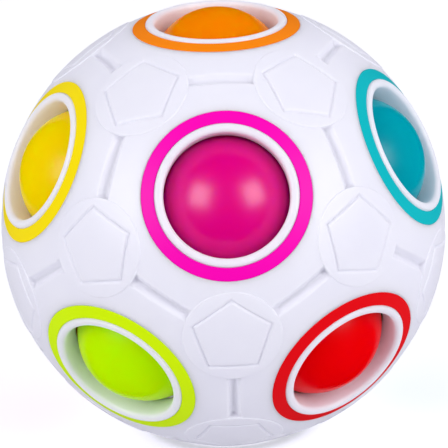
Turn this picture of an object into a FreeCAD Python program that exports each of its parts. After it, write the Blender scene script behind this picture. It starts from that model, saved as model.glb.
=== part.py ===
import FreeCAD, Part
import math
import os

# Twelve-hole puzzle ball: a hollow white ball with twelve sockets, eleven captive coloured
# balls and a soft core that holds them out against their sockets.
# Millimetres. +Z is up. The ball stands on the lip of its empty socket; the origin is the
# centre of that lip's land. The magenta socket faces the front (-Y and a little up).

# ---- driving dimensions --------------------------------------------------------------
shell_r = 34.85            # outside of the white shell between its raised discs
shell_wall = 1.85
disc_top_r = 35.0          # outside of the raised discs
disc_r = 7.6               # half the width of a raised disc
disc_edge = 0.16           # width of the sloping edge of a disc
disc_root = 1.0            # how far a disc's stock reaches into the shell

socket_r = 9.6             # bore of a socket
socket_chamfer = 0.15      # at the inner end of the bore
neck_end = 29.47           # inner end of the neck, measured from the ball's centre
neck_r = 11.0              # outside of the neck and of the lip
seat_plate = 30.0          # inner face of the flat round each neck
seat_plate_r = 14.2        # outside of that flat
lip_top = 33.45            # crown of the lip
lip_inner_round = 0.5
lip_outer_round = 0.55
lip_stock = 0.6            # left round the lip's outside until the socket is cut
lip_stock_low = 31.5
lip_stock_top = 33.6

ring_in_r = 11.05
ring_out_r = 12.98
ring_floor = 31.2          # floor of the recess that holds a ring
ring_gap = 0.05            # round the outside of a ring
ring_edge = 0.08           # broken edges of a ring
peg_count = 3
peg_r = 0.5
peg_end = 30.4
peg_gap = 0.05
peg_root = 0.5             # how far a peg reaches into its ring

groove_r = 0.71            # radius of the groove's round section
groove_depth = 0.8
groove_inset = 0.5         # how far a groove's ends reach under the discs

pentagon_r = 6.36          # centre of the engraved line, at a corner
line_width = 0.36
line_depth = 0.2

tongue_r = 33.85           # outside of the tongue at the seam
tongue_length = 0.95
tongue_gap = 0.05

ball_r = 10.7
ball_seat = 24.45          # ball's centre from the toy's centre, when it sits in a socket
ball_crossing = 20.1       # the same, when it is pressed in to pass under a bridge
core_r = 13.65
core_dimple_gap = 0.05

over = 0.1                 # how far a cut runs past the surface that it cuts
away = 60                  # clear of the whole ball

# ---- directions ----------------------------------------------------------------------
centre = FreeCAD.Vector(0, 0, lip_top)
tilt = math.atan(2)        # angle between two neighbouring sockets


def direction(azimuth_deg, from_top):
    azimuth = math.radians(azimuth_deg)
    return FreeCAD.Vector(
        math.sin(from_top) * math.cos(azimuth),
        math.sin(from_top) * math.sin(azimuth),
        math.cos(from_top),
    )


upper, lower = tilt, math.pi - tilt
around = 72                # between neighbours in the upper or the lower ring of sockets
sockets = {
    "orange": direction(0, 0),
    "magenta": direction(-90, upper),
    "teal": direction(-90 + around, upper),
    "violet": direction(-90 + 2 * around, upper),
    "blue": direction(-90 + 3 * around, upper),
    "yellow": direction(-90 + 4 * around, upper),
    "brown": direction(90, lower),
    "rose": direction(90 + around, lower),
    "lime": direction(90 + 2 * around, lower),
    "red": direction(90 + 3 * around, lower),
    "emerald": direction(90 + 4 * around, lower),
    "grey": direction(0, math.pi),
}
front = sockets["magenta"]
crossing = "brown"         # this ball is pressed in, ready to pass to the empty socket
empty = "grey"             # this socket has a ring and no ball


def neighbours(a, b):
    return abs(a.dot(b) - math.cos(tilt)) < 1e-6


axes = list(sockets.values())
disc_axes = []
for i in range(12):
    for j in range(i + 1, 12):
        for k in range(j + 1, 12):
            a, b, c = axes[i], axes[j], axes[k]
            if neighbours(a, b) and neighbours(b, c) and neighbours(a, c):
                disc_axes.append((a + b + c).normalize())

disc_step = math.acos(math.sqrt(5) / 3)    # angle between two neighbouring discs


def frame_on(axis, towards):
    """Puts a shape made about +Z with its centre at 0 onto an axis of the ball."""
    z = FreeCAD.Vector(axis).normalize()
    x = (towards - z * towards.dot(z)).normalize()
    return FreeCAD.Placement(centre, FreeCAD.Rotation(x, z.cross(x), z, "ZXY"))


def placed(shape, placement):
    copy = shape.copy()
    copy.Placement = placement.multiply(copy.Placement)
    return copy


# ---- helpers -------------------------------------------------------------------------
def point(r, h):
    return FreeCAD.Vector(r, 0, h)


def line(a, b):
    return Part.makeLine(point(*a), point(*b))


def arc(mid, radius, start_deg, end_deg):
    """An arc in the r-h plane about mid."""
    through = []
    for turn in (start_deg, (start_deg + end_deg) / 2, end_deg):
        t = math.radians(turn)
        through.append(point(mid[0] + radius * math.cos(t), mid[1] + radius * math.sin(t)))
    return Part.Arc(*through).toShape()


def turned(edges):
    """A solid of revolution about Z from the closed outline of edges."""
    face = Part.Face(Part.Wire(edges))
    return face.revolve(FreeCAD.Vector(0, 0, 0), FreeCAD.Vector(0, 0, 1), 360)


def turned_polygon(corners):
    outline = Part.makePolygon([point(*c) for c in corners + corners[:1]])
    return turned(outline.Edges)


def on_sphere(radius, r):
    return math.sqrt(radius * radius - r * r)


# ---- one raised disc, with its engraved pentagon ---------------------------------------
def engraved_pentagon():
    """The V-shaped line round a pentagon; its first corner points along +X."""
    corner = FreeCAD.Vector(pentagon_r, 0, on_sphere(disc_top_r, pentagon_r))
    turn = FreeCAD.Rotation(FreeCAD.Vector(0, 0, 1), 72)
    other = turn.multVec(corner)
    normal = corner.cross(other).normalize()
    middle = (corner + other).normalize()
    half = line_width / 2 * (line_depth + over) / line_depth
    bottom = middle * (disc_top_r - line_depth)
    top = middle * (disc_top_r + over)
    section = Part.makePolygon([bottom, top + normal * half, top - normal * half, bottom])
    spare = 3
    sweep = math.degrees(corner.getAngle(other)) + spare
    face = Part.Face(section)
    face.rotate(FreeCAD.Vector(0, 0, 0), normal, -sweep / 2)
    side = face.revolve(FreeCAD.Vector(0, 0, 0), normal, sweep)
    tip = FreeCAD.Vector(0, 0, disc_top_r / 2)
    reach = FreeCAD.Vector(2 * pentagon_r, 0, 0)
    sector = Part.makePolygon([tip, tip + reach, tip + turn.multVec(reach), tip])
    side = side.common(Part.Face(sector).extrude(FreeCAD.Vector(0, 0, disc_top_r)))
    sides = []
    for n in range(5):
        copy = side.copy()
        copy.rotate(FreeCAD.Vector(0, 0, 0), FreeCAD.Vector(0, 0, 1), 72 * n)
        sides.append(copy)
    return sides


def raised_disc():
    rim_low = (disc_r + disc_edge / 2, on_sphere(shell_r, disc_r + disc_edge / 2))
    rim_high = (disc_r - disc_edge / 2, on_sphere(disc_top_r, disc_r - disc_edge / 2))
    base = on_sphere(shell_r - disc_root, rim_low[0])
    half_turn = math.degrees(math.asin(rim_high[0] / disc_top_r))
    disc = turned(
        [
            line((0, base), (rim_low[0], base)),
            line((rim_low[0], base), rim_low),
            line(rim_low, rim_high),
            arc((0, 0), disc_top_r, 90 - half_turn, 90),
            line((0, disc_top_r), (0, base)),
        ]
    )
    for side in engraved_pentagon():
        disc = disc.cut(side)
    return disc


def disc_placement(axis):
    """The pentagon of a disc beside a pole points at it; the others point away from it."""
    pole = front if axis.dot(front) > 0 else front * -1
    beside = axis.dot(pole) > 0.5
    return frame_on(axis, pole if beside else pole * -1)


# ---- grooves between the discs ---------------------------------------------------------
def groove_between(a, b):
    middle = (a + b).normalize()
    normal = a.cross(b).normalize()
    sweep = math.degrees(disc_step - 2 * math.asin((disc_r - groove_inset) / shell_r))
    at = centre + middle * (shell_r + groove_r - groove_depth)
    across = middle.cross(normal)
    face = Part.Face(Part.Wire([Part.makeCircle(groove_r, at, across)]))
    face.rotate(centre, normal, -sweep / 2)
    return face.revolve(centre, normal, sweep)


# ---- sockets ---------------------------------------------------------------------------
def pegs(radius, end):
    """The pegs under a ring, or the holes for them."""
    made = []
    top = ring_floor + peg_root
    r = (ring_in_r + ring_out_r) / 2
    for n in range(peg_count):
        turn = math.radians(360 * n / peg_count)
        at = FreeCAD.Vector(r * math.cos(turn), r * math.sin(turn), end)
        made.append(Part.makeCylinder(radius, top - end, at))
    return made


def socket_cutter():
    """Everything taken out at one socket: bore, lip rounding, ring recess, peg holes."""
    above = disc_top_r + over
    start = neck_end - over
    inner = (socket_r + lip_inner_round, lip_top - lip_inner_round)
    outer = (neck_r - lip_outer_round, lip_top - lip_outer_round)
    recess_r = ring_out_r + ring_gap
    bevel_r = socket_r + socket_chamfer + over
    cutter = turned(
        [
            line((0, start), (bevel_r, start)),
            line((bevel_r, start), (socket_r, neck_end + socket_chamfer)),
            line((socket_r, neck_end + socket_chamfer), (socket_r, inner[1])),
            arc(inner, lip_inner_round, 180, 90),
            line((inner[0], lip_top), (outer[0], lip_top)),
            arc(outer, lip_outer_round, 90, 0),
            line((neck_r, outer[1]), (neck_r, ring_floor)),
            line((neck_r, ring_floor), (recess_r, ring_floor)),
            line((recess_r, ring_floor), (recess_r, above)),
            line((recess_r, above), (0, above)),
            line((0, above), (0, start)),
        ]
    )
    return cutter.fuse(pegs(peg_r + peg_gap, peg_end - over))


def socket_ring():
    """A coloured ring: its top follows the shell, and pegs hold it in its recess."""
    edge = ring_edge
    inner_top = (ring_in_r + edge, on_sphere(shell_r, ring_in_r + edge))
    outer_top = (ring_out_r - edge, on_sphere(shell_r, ring_out_r - edge))
    start = math.degrees(math.acos(outer_top[0] / shell_r))
    end = math.degrees(math.acos(inner_top[0] / shell_r))
    ring = turned(
        [
            line((ring_in_r, ring_floor), (ring_out_r, ring_floor)),
            line((ring_out_r, ring_floor), (ring_out_r, outer_top[1] - edge)),
            line((ring_out_r, outer_top[1] - edge), outer_top),
            arc((0, 0), shell_r, start, end),
            line(inner_top, (ring_in_r, inner_top[1] - edge)),
            line((ring_in_r, inner_top[1] - edge), (ring_in_r, ring_floor)),
        ]
    )
    return ring.fuse(pegs(peg_r, peg_end)).removeSplitter()


def cavity():
    """The hollow inside the shell, less the flat and the neck at each socket."""
    stop = turned_polygon(
        [
            (0, neck_end),
            (neck_r, neck_end),
            (neck_r, seat_plate),
            (seat_plate_r, seat_plate),
            (seat_plate_r, disc_top_r),
            (0, disc_top_r),
        ]
    )
    hollow = Part.makeSphere(shell_r - shell_wall, centre)
    return hollow.cut([placed(stop, place) for place in socket_places.values()])


# A socket's first peg points towards the front socket. In the sockets at the front and
# at the back of it, the first peg points up.
socket_places = {}
for name, axis in sockets.items():
    on_front_axis = abs(axis.dot(front)) > 0.99
    side = FreeCAD.Vector(0, 0, 1) if on_front_axis else front
    socket_places[name] = frame_on(axis, side)

# ---- the whole shell, then its two halves ----------------------------------------------
blank = Part.makeSphere(shell_r, centre)
grooves = []
for i in range(len(disc_axes)):
    for j in range(i + 1, len(disc_axes)):
        if abs(disc_axes[i].getAngle(disc_axes[j]) - disc_step) < 1e-4:
            grooves.append(groove_between(disc_axes[i], disc_axes[j]))
blank = blank.cut(grooves)

disc = raised_disc()
lip = Part.makeCylinder(
    neck_r + lip_stock,
    lip_stock_top - lip_stock_low,
    FreeCAD.Vector(0, 0, lip_stock_low),
)
added = [placed(disc, disc_placement(axis)) for axis in disc_axes]
added += [placed(lip, place) for place in socket_places.values()]
blank = blank.fuse(added)

cutter = socket_cutter()
shell = blank.cut([cavity()])
shell = shell.cut([placed(cutter, place) for place in socket_places.values()])

seam = frame_on(front, FreeCAD.Vector(0, 0, 1))
front_side = Part.makeCylinder(away, away)
tongue = Part.makeCylinder(tongue_r, away, FreeCAD.Vector(0, 0, -tongue_length))
rear_side = Part.makeCylinder(away, away, FreeCAD.Vector(0, 0, -away))
rebate = Part.makeCylinder(
    tongue_r + tongue_gap,
    tongue_length + 2 * tongue_gap,
    FreeCAD.Vector(0, 0, -tongue_length - 2 * tongue_gap),
)
front_shell = shell.common(placed(front_side.fuse(tongue), seam))
rear_shell = shell.common(placed(rear_side.cut(rebate), seam))

# ---- rings, balls and core -------------------------------------------------------------
pieces = {"front_shell": front_shell, "rear_shell": rear_shell}
ring = socket_ring()
for name, place in socket_places.items():
    pieces["ring_" + name] = placed(ring, place)

for name, axis in sockets.items():
    if name == empty:
        continue
    seat = ball_crossing if name == crossing else ball_seat
    pieces["ball_" + name] = Part.makeSphere(ball_r, centre + axis * seat)

dimple = Part.makeSphere(ball_r + core_dimple_gap, centre + sockets[crossing] * ball_crossing)
pieces["core"] = Part.makeSphere(core_r, centre).cut(dimple)

os.makedirs("parts", exist_ok=True)
for name, shape in pieces.items():
    solid = shape.Solids[0] if len(shape.Solids) == 1 else shape
    print(name, len(shape.Solids), shape.isValid(), round(shape.Volume, 1), len(shape.Faces))
    solid.exportStep("parts/" + name + ".step")
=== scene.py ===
"""Looks of the twelve-socket puzzle ball: clean moulded meshes, plastic materials and a studio."""

import itertools
import math

import bmesh
import bpy
import numpy as np
from mathutils import Matrix, Vector, noise


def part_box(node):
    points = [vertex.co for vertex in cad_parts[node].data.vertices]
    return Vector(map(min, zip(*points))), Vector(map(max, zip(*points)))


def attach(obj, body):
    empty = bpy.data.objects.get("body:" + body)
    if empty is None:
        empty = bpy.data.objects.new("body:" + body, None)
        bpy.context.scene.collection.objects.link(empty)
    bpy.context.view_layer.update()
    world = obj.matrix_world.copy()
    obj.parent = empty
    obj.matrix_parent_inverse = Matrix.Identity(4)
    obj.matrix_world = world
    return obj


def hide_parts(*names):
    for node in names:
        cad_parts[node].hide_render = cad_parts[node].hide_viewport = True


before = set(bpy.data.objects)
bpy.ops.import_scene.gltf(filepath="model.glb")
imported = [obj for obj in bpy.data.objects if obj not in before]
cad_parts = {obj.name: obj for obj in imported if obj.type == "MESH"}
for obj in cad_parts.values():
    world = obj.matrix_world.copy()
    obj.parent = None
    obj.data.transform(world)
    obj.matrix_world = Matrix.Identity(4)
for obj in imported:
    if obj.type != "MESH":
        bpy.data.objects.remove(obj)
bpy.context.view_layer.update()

mm = 0.001
fifth_deg = 72                              # between neighbours round a socket's axis
fifth = math.radians(fifth_deg)

# ---- driving dimensions: the CAD's, with softer grooves, lines and lip edges -----------
# Heights are measured from the toy's centre along a socket's axis.
shell_r = 34.85 * mm                        # outside of the shell between the discs
inner_r = 33.0 * mm                         # its inside
disc_top_r = 35.0 * mm                      # top of the raised discs
disc_in, disc_out = 7.52 * mm, 7.68 * mm    # top and foot of a disc's step

bore_r = 9.6 * mm                           # the hole that a ball shows through
neck_r = 11.0 * mm                          # outside of the lip and the neck below it
neck_end = 29.47 * mm                       # inner end of the neck
flat_h, flat_r = 30.0 * mm, 13.748 * mm     # flat inside the shell round a neck
lip_top = 33.45 * mm
lip_in_round, lip_out_round = 0.6 * mm, 0.55 * mm
recess_floor = 31.2 * mm                    # the ring stands on it
recess_r = 13.03 * mm

ring_in, ring_out = 11.03 * mm, 13.0 * mm

groove_half, groove_depth = 1.15 * mm, 0.9 * mm     # half of its width, and its depth
pentagon_r = 6.36 * mm                      # from its middle to a corner
line_half, line_depth = 0.24 * mm, 0.36 * mm        # the same of a pentagon's line

tongue_r, tongue_length = 33.85 * mm, 0.95 * mm     # the step where the halves meet
tongue_gap = 0.05 * mm
seam_bevel = 0.07 * mm

ball_r = 10.7 * mm
core_r = 13.65 * mm

# ---- the frame: the toy's centre and its twelve sockets ---------------------------------
low_ring, high_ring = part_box("ring_grey"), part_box("ring_orange")
centre = Vector((0, 0, (low_ring[0].z + high_ring[1].z) / 2))
tilt = math.atan(2)                         # between two neighbouring sockets


def direction(azimuth_deg, from_top):
    """Unit vector at an azimuth from +X and an angle, in radians, from +Z."""
    a = math.radians(azimuth_deg)
    flat = math.sin(from_top)
    return Vector((flat * math.cos(a), flat * math.sin(a), math.cos(from_top)))


upper_row = ("magenta", "teal", "violet", "blue", "yellow")
lower_row = ("red", "emerald", "brown", "rose", "lime")
sockets = {"orange": direction(0, 0)}
for n, name in enumerate(upper_row):
    sockets[name] = direction(-90 + fifth_deg * n, tilt)
for n, name in enumerate(lower_row):
    sockets[name] = direction(-54 + fifth_deg * n, math.pi - tilt)
sockets["grey"] = direction(0, math.pi)
front = sockets["magenta"]
axes = list(sockets.values())


def are_near(a, b):
    return abs(a.dot(b) - math.cos(tilt)) < 1e-5


def neighbour(axis):
    """The first socket beside this one: its direction fixes a socket's own turn."""
    return next(b for b in axes if are_near(axis, b))


disc_axes = []
for a, b, c in itertools.combinations(axes, 3):
    if are_near(a, b) and are_near(b, c) and are_near(a, c):
        disc_axes.append((a + b + c).normalized())
disc_step = math.acos(math.sqrt(5) / 3)     # between two neighbouring discs
edge_tilt = tilt / 2                        # from a socket to the middle of a cell's edge
disc_tilt = math.acos(math.sqrt((5 + 2 * math.sqrt(5)) / 15))   # from a socket to a disc


def frame_on(axis, towards):
    """Rotation that stands a shape made about +Z on axis, its +X turned towards a direction."""
    z = axis.normalized()
    x = (towards - z * towards.dot(z)).normalized()
    return np.array(Matrix((x, z.cross(x), z)).transposed())


# ---- meshes ---------------------------------------------------------------------------
class Skin:
    """Collects grids of points into one mesh. half_shell and tidy weld the shared edges.

    A tag is 0 on a piece's outside and 1 on the shell's inside, until the seam is cut.
    """

    def __init__(self):
        self.points, self.faces, self.tags, self.count = [], [], [], 0

    def add(self, points, faces, tag=0):
        self.points.append(np.asarray(points))
        self.faces.append(np.asarray(faces) + self.count)
        self.tags.append(np.full(len(faces), tag))
        self.count += len(points)

    def add_grid(self, grid, closed, tag=0):
        """grid[row][column] is a point. A closed grid joins its last column to its first."""
        rows, columns = grid.shape[:2]
        last = columns if closed else columns - 1
        row, column = np.meshgrid(np.arange(rows - 1), np.arange(last), indexing="ij")
        after = (column + 1) % columns
        quads = np.stack(
            [
                row * columns + column,
                row * columns + after,
                (row + 1) * columns + after,
                (row + 1) * columns + column,
            ],
            axis=-1,
        )
        self.add(grid.reshape(-1, 3), quads.reshape(-1, 4), tag)

    def add_fan(self, row, middle):
        """Closes a round row with triangles to one point."""
        n = len(row)
        fan = [(i, (i + 1) % n, n, n) for i in range(n)]
        self.add(np.concatenate([row, [middle]]), fan)

    def copy_turned(self, turn, into):
        """Adds a turned copy of this patch to another skin."""
        points = np.concatenate(self.points) @ turn.T
        into.add(points, np.concatenate(self.faces), 0)
        into.tags[-1] = np.concatenate(self.tags)

    def mesh(self, name):
        mesh = bpy.data.meshes.new(name)
        points = np.concatenate(self.points)
        faces = np.concatenate(self.faces)
        corners = [list(dict.fromkeys(face)) for face in faces.tolist()]
        mesh.from_pydata(points.tolist(), [], corners)
        mesh.polygons.foreach_set("material_index", np.concatenate(self.tags).astype(np.int32))
        return mesh


def piece(name, mesh, material, at=centre):
    """A smooth object of one material, its mesh moved from the toy's centre to its place."""
    mesh.polygons.foreach_set("use_smooth", np.ones(len(mesh.polygons), bool))
    mesh.polygons.foreach_set("material_index", np.zeros(len(mesh.polygons), np.int32))
    made = bpy.data.objects.new(name, mesh)
    bpy.context.scene.collection.objects.link(made)
    mesh.transform(Matrix.Translation(at))
    mesh.materials.append(material)
    mesh.update()
    return made


def arc(mid, radius, start_deg, end_deg, steps):
    """Points of an arc in a profile's (radius, height) plane."""
    turns = np.radians(np.linspace(start_deg, end_deg, steps + 1))
    return [(mid[0] + radius * math.cos(t), mid[1] + radius * math.sin(t)) for t in turns]


def turned_rows(profile, azimuths):
    """Rows of points round +Z, one row for each (radius, height) of the profile."""
    r = np.array([p[0] for p in profile])[:, None]
    h = np.array([p[1] for p in profile])[:, None]
    flat = np.ones_like(azimuths)[None, :]
    return np.stack([r * np.cos(azimuths), r * np.sin(azimuths), h * flat], axis=-1)


def unit(points):
    return points / np.linalg.norm(points, axis=-1, keepdims=True)


def on_sphere(radius, r):
    """Height of a sphere above the plane through its middle, at a distance r from its axis."""
    return math.sqrt(radius * radius - r * r)


# Columns. A disc's circle is cut into three arcs and three groove ends. The pentagon's corners
# fall 0, 24 and 48 degrees from the middle of an arc.
disc_angle = math.asin(disc_out / shell_r)
groove_shape = np.linspace(-1, 1, 17)
groove_side = groove_shape * groove_half / shell_r
groove_turn = np.arcsin(np.sin(groove_side) / math.sin(disc_angle))
arc_end = math.radians(60) - groove_turn[-1]
arc_stops = [0, math.radians(24), math.radians(48), arc_end]
span_steps, last_points = 8, 3
half_arc = np.concatenate(
    [
        np.linspace(arc_stops[0], arc_stops[1], span_steps, endpoint=False),
        np.linspace(arc_stops[1], arc_stops[2], span_steps, endpoint=False),
        np.linspace(arc_stops[2], arc_stops[3], last_points),
    ]
)
whole_arc = np.concatenate([-half_arc[:0:-1], half_arc])
edge_steps = 12                             # along a groove


def groove_dip(side):
    """Depth of a groove at an angle to the side of its middle line."""
    across = np.clip(np.abs(side) / (groove_half / shell_r), 0, 1)
    return groove_depth * (0.5 + 0.5 * np.cos(math.pi * across))


def groove_end(side):
    """Half the angle that a groove runs along its edge, at an angle to its side."""
    return disc_step / 2 - np.arccos(math.cos(disc_angle) / np.cos(side))


def disc_columns():
    """Azimuths round a disc and how far below the shell its foot is there."""
    turns, dips = [], []
    for third in (0, 120, 240):
        turns.append(np.radians(third) + whole_arc[:-1])
        dips.append(np.zeros(len(whole_arc) - 1))
        turns.append(np.radians(third + 60) + groove_turn[:-1])
        dips.append(groove_dip(groove_side[:-1]))
    return np.concatenate(turns), np.concatenate(dips)


def disc_patch():
    """A raised disc on +Z with its engraved pentagon."""
    turns, dips = disc_columns()
    off_middle = np.mod(turns, fifth) - fifth / 2
    skin = Skin()

    def circle(r, rise, dip):
        """A row round the disc's step; rise is 0 at its foot and 1 on its top."""
        high = shell_r + rise * (disc_top_r - shell_r) - dip
        flat = unit(turned_rows([(r, on_sphere(shell_r, r))], turns))[0]
        return flat * np.broadcast_to(high, turns.shape)[:, None]

    def pentagon(offset, depth, scale=1.0):
        """A five-sided row beside the engraved line."""
        apothem = pentagon_r * math.cos(fifth / 2) * scale + offset
        r = apothem / np.cos(off_middle)
        flat = np.stack(
            [r * np.cos(turns), r * np.sin(turns), np.sqrt(disc_top_r**2 - r * r)], axis=-1
        )
        return unit(flat) * (disc_top_r - depth)

    edge = disc_out - disc_in
    # (share of the step's width, share of its rise)
    step_rows = ((0.12, 0.1), (0.35, 0.42), (0.6, 0.75), (0.85, 0.95), (1.15, 1), (1.9, 1))
    # (share of half the line's width, share of its depth), from its side to its middle
    line_rows = ((2.2, 0), (1.15, 0.02), (0.8, 0.2), (0.25, 0.9))
    rows = [circle(disc_out, 0, dips)]
    for share, rise in step_rows:
        rows.append(circle(disc_out - share * edge, rise, 0))
    for share, depth in line_rows:
        rows.append(pentagon(share * line_half, depth * line_depth))
    for share, depth in reversed(line_rows):
        rows.append(pentagon(-share * line_half, depth * line_depth))
    for scale in (0.78, 0.55, 0.3):
        rows.append(pentagon(0, 0, scale))
    grid = np.array(rows)
    skin.add_grid(grid, True)
    skin.add_fan(grid[-1], (0, 0, disc_top_r))
    return skin


def groove_patch():
    """A groove on +Z running along X."""
    rows = []
    for side in groove_side:
        end = groove_end(side)
        along = np.linspace(-end, end, edge_steps + 1)
        flat = np.stack(
            [
                math.cos(side) * np.sin(along),
                np.full_like(along, math.sin(side)),
                math.cos(side) * np.cos(along),
            ],
            axis=-1,
        )
        rows.append(flat * (shell_r - groove_dip(side)))
    skin = Skin()
    skin.add_grid(np.array(rows)[::-1], False)
    return skin


def cell_border():
    """Directions round one socket where its cell ends: disc arcs and groove sides."""
    sectors = []
    for n in range(5):
        middle = math.radians(fifth_deg * n)
        corner = middle + math.radians(fifth_deg / 2)
        disc = direction(math.degrees(corner), disc_tilt)
        turn = frame_on(disc, Vector((0, 0, 1)))
        arc_rows = turned_rows([(math.sin(disc_angle), math.cos(disc_angle))], -whole_arc[:-1])[0]
        side = groove_side[-1]
        end = groove_end(side)
        along = np.linspace(-end, end, edge_steps + 1)[:-1]
        edge = np.stack(
            [
                np.full_like(along, -math.sin(side)),
                math.cos(side) * np.sin(along),
                math.cos(side) * np.cos(along),
            ],
            axis=-1,
        )
        lean = np.array(Matrix.Rotation(edge_tilt, 3, "Y"))
        spin = np.array(Matrix.Rotation(middle, 3, "Z"))
        sectors.append(edge @ (spin @ lean).T)
        sectors.append(arc_rows @ turn.T)
    return np.concatenate(sectors)


def socket_profile():
    """(radius, height) from the shell down into the ring's recess, over the lip, to the flat."""
    soft = 0.04 * mm
    lip_steps = 7
    inner = (bore_r + lip_in_round, lip_top - lip_in_round)
    outer = (neck_r - lip_out_round, lip_top - lip_out_round)
    rim = recess_r + soft
    rim_top = on_sphere(shell_r, rim)
    recess = [
        (rim, rim_top),
        (recess_r + soft * 0.3, rim_top - soft * 0.2),
        (recess_r, rim_top - soft),
        (recess_r, recess_floor),
        (neck_r, recess_floor),
        (neck_r, outer[1] - 0.6 * mm),
    ]
    lip = arc(outer, lip_out_round, 0, 90, lip_steps)
    lip += arc(inner, lip_in_round, 90, 180, lip_steps)
    bore = [
        (bore_r, inner[1] - 0.5 * mm),
        (bore_r, (inner[1] + neck_end) / 2),
        (bore_r, neck_end + 0.5 * mm),
    ]
    neck_foot = [
        (bore_r, neck_end + 0.17 * mm),
        (bore_r + 0.05 * mm, neck_end + 0.05 * mm),
        (bore_r + 0.17 * mm, neck_end),
        (neck_r - 0.15 * mm, neck_end),
        (neck_r - 0.04 * mm, neck_end + 0.04 * mm),
        (neck_r, neck_end + 0.15 * mm),
    ]
    inside = [
        (neck_r, flat_h - 0.1 * mm),
        (neck_r + 0.1 * mm, flat_h),
        (flat_r, flat_h),
    ]
    return recess + lip + bore + neck_foot + inside


def socket_patch():
    """One socket on +Z with its cell of the shell, outside (tag 0) and inside (tag 1)."""
    border = unit(cell_border())
    azimuths = np.arctan2(border[:, 1], border[:, 0])
    path = socket_profile()
    skin = Skin()
    start = unit(turned_rows([path[0]], azimuths))[0]
    # From the cell's border, 1, to the recess's rim, 0.
    shares = [1, 0.98, 0.93, 0.75, 0.5, 0.25, 0.07, 0]
    outside = [unit(start * (1 - s) + border * s) * shell_r for s in shares]
    skin.add_grid(np.array(outside), True)
    skin.add_grid(turned_rows(path, azimuths), True)

    off_middle = np.mod(azimuths + fifth / 2, fifth) - fifth / 2
    reach = np.arctan(math.tan(edge_tilt) / np.cos(off_middle))
    first = math.asin(flat_r / inner_r)
    rows = []
    # From the flat round the neck, 0, to the cell's border, 1.
    for s in (0, 0.12, 0.4, 0.7, 1):
        lean = first + (reach - first) * s
        rows.append(
            inner_r
            * np.stack(
                [np.sin(lean) * np.cos(azimuths), np.sin(lean) * np.sin(azimuths), np.cos(lean)],
                axis=-1,
            )
        )
    skin.add_grid(np.array(rows), True, tag=1)
    return skin


def whole_shell():
    """Twelve sockets, twenty discs and thirty grooves, before the cut at the seam."""
    skin = Skin()
    socket, disc, groove = socket_patch(), disc_patch(), groove_patch()
    for axis in axes:
        socket.copy_turned(frame_on(axis, neighbour(axis)), skin)
    for axis in disc_axes:
        pole = front if axis.dot(front) > 0 else -front
        beside = axis.dot(pole) > 0.5
        disc.copy_turned(frame_on(axis, pole if beside else -pole), skin)
    for a, b in itertools.combinations(disc_axes, 2):
        if abs(a.angle(b) - disc_step) < 1e-4:
            groove.copy_turned(frame_on(a + b, b - a), skin)
    return skin.mesh("whole_shell")


def loop_round(verts, seam_axis, across):
    """The verts of a seam loop in order round its axis."""
    up = seam_axis.cross(across)
    return sorted(verts, key=lambda v: math.atan2(v.co.dot(up), v.co.dot(across)))


def bridge(work, a, b):
    """Faces between two ordered loops that may have different numbers of points."""
    i = j = 0
    n, m = len(a), len(b)
    while i < n or j < m:
        if j >= m or (i < n and (i + 0.5) / n <= (j + 0.5) / m):
            corners = (a[i % n], a[(i + 1) % n], b[j % m])
            i += 1
        else:
            corners = (a[i % n], b[(j + 1) % m], b[j % m])
            j += 1
        if len(set(corners)) == 3:
            work.faces.new(corners)


def nearest_start(a, b, seam_axis, across):
    """Turns loop b so that it starts beside loop a."""
    up = seam_axis.cross(across)

    def turn(v):
        return math.atan2(v.co.dot(up), v.co.dot(across))

    start = min(range(len(b)), key=lambda n: abs(math.remainder(turn(b[n]) - turn(a[0]), math.tau)))
    return b[start:] + b[:start]


def half_shell(whole, side):
    """One moulded half. side is 1 in front of the seam and -1 behind it.

    The outside (tag 0) is cut at the seam and the inside (tag 1) at the tongue's end. A
    bevel, the seam's face and the tongue's side then join the two.
    """
    work = bmesh.new()
    work.from_mesh(whole)
    bmesh.ops.remove_doubles(work, verts=work.verts, dist=0.002 * mm)
    across = front.cross(Vector((1, 0, 0)))
    inner_cut = -tongue_length if side > 0 else -tongue_length - 2 * tongue_gap
    step_r = tongue_r if side > 0 else tongue_r + tongue_gap
    cuts = ((0, side * seam_bevel), (1, inner_cut))
    for tag, cut in cuts:
        faces = [f for f in work.faces if f.material_index == tag]
        edges = dict.fromkeys(e for f in faces for e in f.edges)
        verts = dict.fromkeys(v for f in faces for v in f.verts)
        bmesh.ops.bisect_plane(
            work,
            geom=faces + list(edges) + list(verts),
            dist=1e-8,
            plane_co=front * cut,
            plane_no=front * side,
            clear_inner=True,
        )
    loops = {}
    for tag, cut in cuts:
        found = {
            v
            for e in work.edges
            if e.is_boundary and e.link_faces[0].material_index == tag
            for v in e.verts
            if abs(v.co.dot(front) - cut) < 1e-6
        }
        loops[tag] = loop_round(found, front, across)
    rows = [loops[0]]

    def row(radius_of, along):
        """A row of points inside the outer loop, at a place along the seam's axis."""
        made = []
        for v in loops[0]:
            out = v.co - front * v.co.dot(front)
            made.append(work.verts.new(out.normalized() * radius_of(out.length) + front * along))
        rows.append(made)

    row(lambda r: r - seam_bevel, 0)
    row(lambda r: step_r + 0.05 * mm, 0)
    row(lambda r: step_r, 0)
    row(lambda r: step_r, inner_cut)
    for a, b in zip(rows, rows[1:]):
        for n in range(len(a)):
            work.faces.new((a[n - 1], a[n], b[n], b[n - 1]))
    bridge(work, rows[-1], nearest_start(rows[-1], loops[1], front, across))
    bmesh.ops.recalc_face_normals(work, faces=work.faces)
    mesh = bpy.data.meshes.new("front_shell" if side > 0 else "rear_shell")
    work.to_mesh(mesh)
    work.free()
    return mesh


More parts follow.
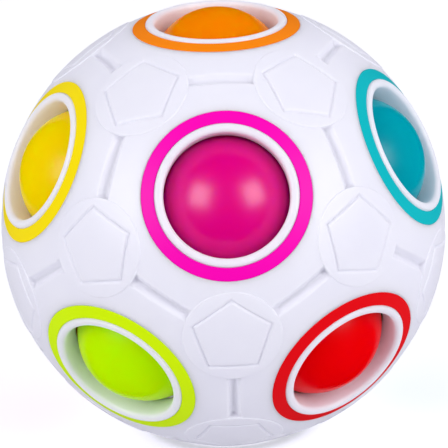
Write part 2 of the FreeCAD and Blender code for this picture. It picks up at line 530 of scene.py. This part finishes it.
# ---- materials --------------------------------------------------------------------------
def plastic(
    name,
    colour,
    roughness,
    bump,
    shine=0.5,
    bump_scale=900.0,
    haze=0.06,
    inside=0.0,
    depth=0.0,
    spread=(1, 1, 1),
):
    """Moulded plastic: slightly uneven colour and gloss, a faint grain, light going inside.

    haze is how far the roughness strays either way. inside is the share of the light that
    goes in, depth how far it goes, and spread that reach's share in red, green and blue.
    """
    patch_scale = 140
    darker, lighter = 0.965, 1.02
    grain_height = 0.03 * mm
    made = bpy.data.materials.new(name)
    made.use_nodes = True
    nodes, links = made.node_tree.nodes, made.node_tree.links
    shader = nodes["Principled BSDF"]
    where = nodes.new("ShaderNodeTexCoord")

    broad = nodes.new("ShaderNodeTexNoise")
    broad.inputs["Scale"].default_value = patch_scale
    broad.inputs["Detail"].default_value = 4
    links.new(where.outputs["Object"], broad.inputs["Vector"])

    tint = nodes.new("ShaderNodeMix")
    tint.data_type = "RGBA"
    tint.inputs["A"].default_value = (*[c * darker for c in colour], 1)
    tint.inputs["B"].default_value = (*[min(c * lighter, 1) for c in colour], 1)
    links.new(broad.outputs["Fac"], tint.inputs["Factor"])
    links.new(tint.outputs["Result"], shader.inputs["Base Color"])

    gloss = nodes.new("ShaderNodeMapRange")
    gloss.inputs["To Min"].default_value = roughness - haze
    gloss.inputs["To Max"].default_value = roughness + haze
    links.new(broad.outputs["Fac"], gloss.inputs["Value"])
    links.new(gloss.outputs["Result"], shader.inputs["Roughness"])

    shader.inputs["Specular IOR Level"].default_value = shine
    shader.inputs["IOR"].default_value = 1.5
    if inside:
        shader.inputs["Subsurface Weight"].default_value = inside
        shader.inputs["Subsurface Radius"].default_value = spread
        shader.inputs["Subsurface Scale"].default_value = depth

    grain = nodes.new("ShaderNodeTexNoise")
    grain.inputs["Scale"].default_value = bump_scale
    grain.inputs["Detail"].default_value = 2
    links.new(where.outputs["Object"], grain.inputs["Vector"])
    raised = nodes.new("ShaderNodeBump")
    raised.inputs["Strength"].default_value = bump
    raised.inputs["Distance"].default_value = grain_height
    links.new(grain.outputs["Fac"], raised.inputs["Height"])
    links.new(raised.outputs["Normal"], shader.inputs["Normal"])
    return made


ring_colours = {
    "magenta": (0.98, 0.0, 0.45),
    "orange": (1.0, 0.25, 0.0),
    "yellow": (1.0, 0.78, 0.0),
    "teal": (0.0, 0.50, 0.53),
    "lime": (0.68, 0.97, 0.0),
    "red": (0.84, 0.0, 0.004),
    "violet": (0.20, 0.03, 0.52),
    "blue": (0.01, 0.10, 0.68),
    "emerald": (0.0, 0.33, 0.09),
    "brown": (0.22, 0.07, 0.025),
    "rose": (0.90, 0.30, 0.42),
    "grey": (0.30, 0.31, 0.34),
}
# A ball is a little deeper in colour than its ring where the photo shows it so.
ball_colours = dict(ring_colours)
ball_colours["magenta"] = (0.76, 0.0, 0.245)
ball_colours["teal"] = (0.0, 0.35, 0.41)
ball_colours["lime"] = (0.54, 0.97, 0.0)
ball_colours["yellow"] = (1.0, 0.68, 0.0)


# ---- small pieces -----------------------------------------------------------------------
def ring_mesh(name):
    """A turned ring with rounded edges and a top that follows the shell."""
    soft = 0.08 * mm
    under = 0.01 * mm                       # how far its top stays below the shell's sphere
    foot = 0.3 * mm
    steps, columns = 4, 192
    out_h = on_sphere(shell_r, ring_out - soft) - soft - under
    in_h = on_sphere(shell_r, ring_in + soft) - soft - under
    path = [(ring_out, recess_floor), (ring_out, recess_floor + foot)]
    path += arc((ring_out - soft, out_h), soft, 0, 68, steps)
    for share in (0.15, 0.5, 0.85):
        r = ring_out - soft + (ring_in - ring_out + 2 * soft) * share
        path.append((r, on_sphere(shell_r, r) - under))
    path += arc((ring_in + soft, in_h), soft, 72, 180, steps)
    path += [(ring_in, recess_floor + foot), (ring_in, recess_floor)]
    skin = Skin()
    azimuths = np.linspace(0, math.tau, columns, endpoint=False)
    skin.add_grid(turned_rows(path + path[:1], azimuths), True)
    return skin.mesh(name)


def ball_mesh(name):
    """A ball in latitude rows with a hairline moulding line round its middle."""
    rows, columns = 72, 144
    line = 0.035 * mm                       # the moulding line's depth
    equator = math.pi / 2
    leans = list(np.linspace(0, math.pi, rows + 1)[1:-1])
    leans += [equator + d for d in (-0.012, -0.006, 0.006, 0.012)]
    path = []
    for lean in sorted(leans):
        r = ball_r - (line if abs(lean - equator) < 0.003 else 0)
        path.append((r * math.sin(lean), r * math.cos(lean)))
    skin = Skin()
    azimuths = np.linspace(0, math.tau, columns, endpoint=False)
    grid = turned_rows(path, azimuths)
    skin.add_grid(grid, True)
    for end, row in ((1, grid[0]), (-1, grid[-1])):
        skin.add_fan(row, (0, 0, end * ball_r))
    return skin.mesh(name)


def tidy(mesh):
    """Welds shared points and faces every face outwards."""
    work = bmesh.new()
    work.from_mesh(mesh)
    bmesh.ops.remove_doubles(work, verts=work.verts, dist=0.0005 * mm)
    bmesh.ops.recalc_face_normals(work, faces=work.faces)
    work.to_mesh(mesh)
    work.free()
    return mesh


def core_mesh(name, dimple_at, dimple_r):
    """A soft ball with a skinned foam surface, dented where a ball is pressed into it."""
    skin_low, cell_height = 0.12 * mm, 0.1 * mm
    coarse, fine = 60, 140                  # cells of the foam's skin, per unit of direction
    work = bmesh.new()
    bmesh.ops.create_icosphere(work, subdivisions=6, radius=core_r)
    for v in work.verts:
        out = v.co.normalized()
        cells = noise.noise(out * coarse) * 0.5 + noise.noise(out * fine) * 0.5
        v.co = out * (core_r - skin_low + cell_height * cells)
        away = v.co - dimple_at
        if away.length < dimple_r:
            v.co = dimple_at + away.normalized() * dimple_r
    mesh = bpy.data.meshes.new(name)
    work.to_mesh(mesh)
    work.free()
    return mesh


# ---- build ------------------------------------------------------------------------------
white = plastic(
    "shell_white",
    (0.87, 0.865, 0.95),
    roughness=0.42,
    bump=0.1,
    shine=0.25,
    inside=0.8,
    depth=1.6 * mm,
)
whole = whole_shell()
for name, side in (("front_shell", 1), ("rear_shell", -1)):
    made = piece(name + "_moulding", half_shell(whole, side), white)
    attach(made, "shell")
    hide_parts(name)
bpy.data.meshes.remove(whole)

for name, axis in sockets.items():
    material = plastic(
        "ring_" + name,
        ring_colours[name],
        roughness=0.42,
        bump=0.05,
        shine=0.05,
        haze=0.04,
    )
    mesh = tidy(ring_mesh("ring_" + name + "_turned"))
    mesh.transform(Matrix(frame_on(axis, neighbour(axis))).to_4x4())
    made = piece("ring_" + name + "_turned", mesh, material)
    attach(made, "shell")
    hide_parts("ring_" + name)

for name, axis in sockets.items():
    if "ball_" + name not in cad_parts:
        continue
    low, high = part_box("ball_" + name)
    colour = ball_colours[name]
    material = plastic(
        "ball_" + name,
        colour,
        roughness=0.3,
        bump=0.02,
        shine=0.26 if name == "magenta" else 0.1,   # magenta is the shiniest in the photo
        haze=0.03,
        inside=1.0,
        depth=4 * mm,
        spread=[(c / max(colour)) ** 2 for c in colour],
    )
    mesh = tidy(ball_mesh("ball_" + name + "_cast"))
    mesh.transform(Matrix(frame_on(axis, neighbour(axis))).to_4x4())
    made = piece("ball_" + name + "_cast", mesh, material, (low + high) / 2)
    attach(made, "ball_" + name)
    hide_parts("ball_" + name)

low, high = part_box("ball_brown")            # the brown ball is pressed into the core at rest
dimple_at = (low + high) / 2 - centre
foam = plastic(
    "core_foam",
    (0.05, 0.05, 0.055),
    roughness=0.8,
    bump=0.8,
    bump_scale=2500,
    haze=0.08,
)
made = piece("core_foam", core_mesh("core_foam", dimple_at, ball_r + 0.06 * mm), foam)
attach(made, "core")
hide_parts("core")


# ---- studio -----------------------------------------------------------------------------
def softbox(name, towards, away, width, watts):
    """A square area light that faces the toy's centre."""
    light = bpy.data.lights.new(name, "AREA")
    light.shape = "SQUARE"
    light.size = width
    light.energy = watts
    lamp = bpy.data.objects.new(name, light)
    bpy.context.scene.collection.objects.link(lamp)
    lamp.location = centre + towards.normalized() * away
    lamp.rotation_mode = "QUATERNION"
    lamp.rotation_quaternion = towards.to_track_quat("Z", "Y")
    return lamp


def pale_floor():
    """A plain floor that throws no light or shade of its own on the toy."""
    reach = 3.0
    mesh = bpy.data.meshes.new("floor")
    corners = [(-reach, -reach, 0), (reach, -reach, 0), (reach, reach, 0), (-reach, reach, 0)]
    mesh.from_pydata(corners, [], [(0, 1, 2, 3)])
    pale = bpy.data.materials.new("floor")
    pale.use_nodes = True
    looks = pale.node_tree.nodes["Principled BSDF"].inputs
    looks["Base Color"].default_value = (0.95, 0.95, 0.95, 1)
    looks["Roughness"].default_value = 0.9
    looks["Emission Color"].default_value = (1, 1, 1, 1)
    looks["Emission Strength"].default_value = 0.25
    mesh.materials.append(pale)
    floor = bpy.data.objects.new("floor", mesh)
    bpy.context.scene.collection.objects.link(floor)
    floor.visible_glossy = False
    floor.visible_diffuse = False
    floor.visible_shadow = False


def pale_world():
    """A faintly blue room that is brighter behind and below the toy."""
    brightest = Vector((0.24, 0.85, -0.5)).normalized()
    world = bpy.data.worlds.new("studio")
    bpy.context.scene.world = world
    world.use_nodes = True
    nodes, links = world.node_tree.nodes, world.node_tree.links
    sky = nodes["Background"]
    where = nodes.new("ShaderNodeTexCoord")
    lean = nodes.new("ShaderNodeVectorMath")
    lean.operation = "DOT_PRODUCT"
    lean.inputs[1].default_value = brightest
    links.new(where.outputs["Generated"], lean.inputs[0])
    shade = nodes.new("ShaderNodeMapRange")
    shade.inputs["From Min"].default_value = -0.7
    shade.inputs["From Max"].default_value = 0.8
    shade.inputs["To Min"].default_value = 0.59
    shade.inputs["To Max"].default_value = 1.15
    links.new(lean.outputs["Value"], shade.inputs["Value"])
    links.new(shade.outputs["Result"], sky.inputs["Strength"])
    sky.inputs["Color"].default_value = (0.90, 0.895, 1, 1)
    world.cycles_visibility.glossy = False


def lamps():
    """A softbox on each side, each with a smaller one that only makes highlights."""
    for side, watts in ((-0.83, 1.27), (0.86, 1.25)):
        towards = Vector((side, -0.74, 0.55))
        softbox("key", towards, 0.6, 0.38, watts)
        shine = softbox("key_shine", towards, 0.59, 0.3, 2.2 * watts)
        shine.visible_diffuse = False


def camera():
    """The lens is long and stands a little above the toy, turned a touch to the left."""
    back = Vector((-0.02264, -0.94409, 0.32894)).normalized()
    up = Vector((0.04296, 0.3278, 0.94376))
    away = 0.7924
    data = bpy.data.cameras.new("camera")
    data.sensor_width = 36
    data.lens = 405.07
    data.shift_x, data.shift_y = 0.0018, -0.0012
    data.clip_start, data.clip_end = 0.01, 20
    made = bpy.data.objects.new("camera", data)
    bpy.context.scene.collection.objects.link(made)
    side = up.cross(back).normalized()
    turn = Matrix((side, back.cross(side), back)).transposed().to_4x4()
    made.matrix_world = Matrix.Translation(centre + back * away) @ turn
    bpy.context.scene.camera = made


pale_floor()
pale_world()
lamps()
camera()
bpy.context.scene.view_settings.view_transform = "Standard"
